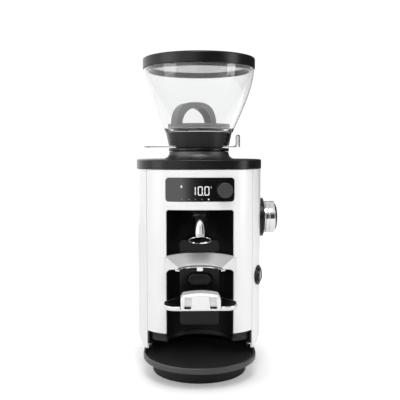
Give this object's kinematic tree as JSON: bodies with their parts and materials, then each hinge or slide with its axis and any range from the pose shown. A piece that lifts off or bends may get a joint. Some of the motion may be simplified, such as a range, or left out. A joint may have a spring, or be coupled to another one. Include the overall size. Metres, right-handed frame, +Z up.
{
  "type": "burr coffee grinder",
  "caption": "Upright electric burr coffee grinder with bean hopper, grind dial, display, filter holder fork, holder rest and pull-out grounds tray.",
  "frame": {"origin": "middle of the foot's underside, on the vertical axis of the burrs and the hopper", "axes": "+Z up along the burrs' axis, -Y towards the user (recess and display side), +X towards the grind dial"},
  "size_m": [0.1938, 0.2451, 0.42],
  "materials": {
    "white_paint": "satin powder coat",
    "black_plastic": "fine-grained satin",
    "black_gloss": "gloss",
    "dark_glass": "gloss dark display window",
    "grey_plastic": "satin",
    "clear_plastic": "clear, slightly smoky",
    "rubber": "matt",
    "brushed_aluminium": "brushed",
    "chrome": "polished",
    "bright_steel": "polished",
    "burr_steel": "ground",
    "dark_steel": "blackened",
    "copper": "enamelled windings",
    "brass": "machined",
    "board_green": "solder mask"
  },
  "bodies": {
    "housing": {"base_plate": "black_plastic", "base_screw_1": "dark_steel", "base_screw_2": "dark_steel", "burr_housing": "brushed_aluminium", "chassis": "dark_steel", "control_board": "board_green", "cord_inlet": "rubber", "dial_bush": "brass", "dial_collar": "black_plastic", "display_board": "board_green", "display_glass": "dark_glass", "foot_plate": "rubber", "front_panel": "white_paint", "funnel_fork": "brushed_aluminium", "funnel_lip": "chrome", "grounds_chute": "black_plastic", "holder_plate": "black_plastic", "hopper_neck": "black_plastic", "lower_bearing": "bright_steel", "motor_can": "dark_steel", "motor_end_bell": "brushed_aluminium", "neck_ring": "bright_steel", "pedestal": "black_plastic", "power_switch": "grey_plastic", "recess_liner": "black_plastic", "side_shell": "white_paint", "spout": "chrome", "spout_sleeve": "black_plastic", "stator": "copper", "switch_bezel": "black_plastic", "top_cover": "black_plastic", "trigger_switch": "grey_plastic", "upper_bearing": "bright_steel"},
    "rest": {"rest_rim": "bright_steel", "rest_pad": "rubber", "rest_tongue": "brushed_aluminium", "rest_slide": "black_plastic"},
    "tray": {"grounds_tray": "black_plastic"},
    "trigger": {"trigger_button": "grey_plastic"},
    "power": {"power_button": "black_gloss"},
    "knob_stem": {"knob_shaft": "dark_steel"},
    "knob": {"control_knob": "grey_plastic"},
    "dial": {"dial_knob": "chrome", "dial_cap": "black_gloss", "dial_pinion_shaft": "brass"},
    "adjuster": {"adjusting_ring": "brass"},
    "upper_burr_set": {"upper_burr_carrier": "brushed_aluminium", "upper_burr": "burr_steel"},
    "rotor": {"motor_shaft": "bright_steel", "armature": "dark_steel", "lower_burr_carrier": "brushed_aluminium", "lower_burr": "burr_steel", "shaft_nut": "dark_steel", "cooling_fan": "black_plastic"},
    "hopper_unit": {"hopper": "clear_plastic", "hopper_collar": "black_plastic", "bean_guard": "grey_plastic"},
    "gate": {"hopper_gate": "bright_steel"},
    "lid": {"hopper_lid": "black_plastic", "lid_plug": "black_gloss"}
  },
  "joints": [
    {"name": "lower_rest_height", "type": "slide", "parent": "housing", "child": "rest", "axis": [0, 0, 1], "range_m": [-0.008, 0.008]},
    {"name": "tray_pull", "type": "slide", "parent": "housing", "child": "tray", "axis": [0, -1, 0], "range_m": [0, 0.13]},
    {"name": "trigger_press", "type": "slide", "parent": "housing", "child": "trigger", "axis": [0, 1, 0], "range_m": [0, 0.003], "stiffness_N_per_m": 300},
    {"name": "power_press", "type": "slide", "parent": "housing", "child": "power", "axis": [-0.9336, 0.3584, 0], "range_m": [0, 0.003], "stiffness_N_per_m": 300},
    {"name": "knob_turn", "type": "hinge", "parent": "housing", "child": "knob_stem", "pos_m": [0.0315, -0.0806, 0.2453], "axis": [0, -1, 0], "continuous": true},
    {"name": "knob_press", "type": "slide", "parent": "knob_stem", "child": "knob", "axis": [0, 1, 0], "range_m": [0, 0.001], "stiffness_N_per_m": 400},
    {"name": "dial_turn", "type": "hinge", "parent": "housing", "child": "dial", "pos_m": [0.0886, 0, 0.2034], "axis": [1, 0, 0], "range_deg": [-150, 150]},
    {"name": "adjuster_turn", "type": "hinge", "parent": "housing", "child": "adjuster", "pos_m": [0, 0, 0.258], "axis": [0, 0, 1], "range_deg": [-24, 24]},
    {"name": "burr_height", "type": "slide", "parent": "housing", "child": "upper_burr_set", "axis": [0, 0, 1], "range_m": [-0.00082, 0.00082]},
    {"name": "rotor_spin", "type": "hinge", "parent": "housing", "child": "rotor", "pos_m": [0, 0, 0.162], "axis": [0, 0, 1], "continuous": true},
    {"name": "hopper_lift", "type": "slide", "parent": "housing", "child": "hopper_unit", "axis": [0, 0, 1], "range_m": [0, 0.08]},
    {"name": "gate_slide", "type": "slide", "parent": "hopper_unit", "child": "gate", "axis": [1, 0, 0], "range_m": [0, 0.046]},
    {"name": "lid_lift", "type": "slide", "parent": "hopper_unit", "child": "lid", "axis": [0, 0, 1], "range_m": [0, 0.05]}
  ],
  "couplings": [
    {"joint": "adjuster_turn", "follows": "dial_turn", "ratio": -0.1579},
    {"joint": "burr_height", "follows": "dial_turn", "m_per_rad": -0.00031412}
  ]
}
